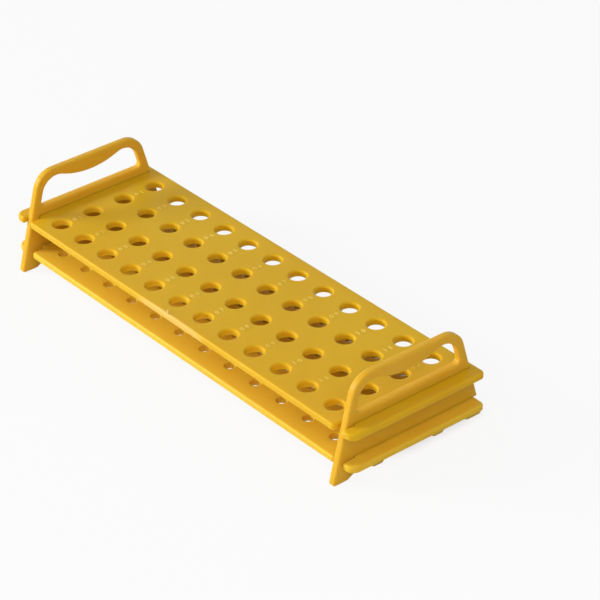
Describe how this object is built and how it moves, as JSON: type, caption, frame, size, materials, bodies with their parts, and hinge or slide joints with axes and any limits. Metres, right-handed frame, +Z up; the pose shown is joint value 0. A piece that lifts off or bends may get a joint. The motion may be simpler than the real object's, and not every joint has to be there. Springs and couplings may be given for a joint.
{
  "type": "microcentrifuge tube rack",
  "caption": "Two-tier bench rack that holds microcentrifuge tubes upright in rows, with a carrying handle and feet moulded into each end frame.",
  "frame": {"origin": "on the bench, under the middle of the rack", "axes": "+X along the rack towards the right end frame, +Y across it towards the side where the slits are open, +Z up"},
  "size_m": [0.34, 0.1164, 0.068],
  "materials": {
    "yellow_polypropylene": "semi-gloss moulded polypropylene"
  },
  "bodies": {
    "root": {"upper_tray": "yellow_polypropylene", "lower_tray": "yellow_polypropylene", "left_end_frame": "yellow_polypropylene", "right_end_frame": "yellow_polypropylene"}
  },
  "joints": []
}
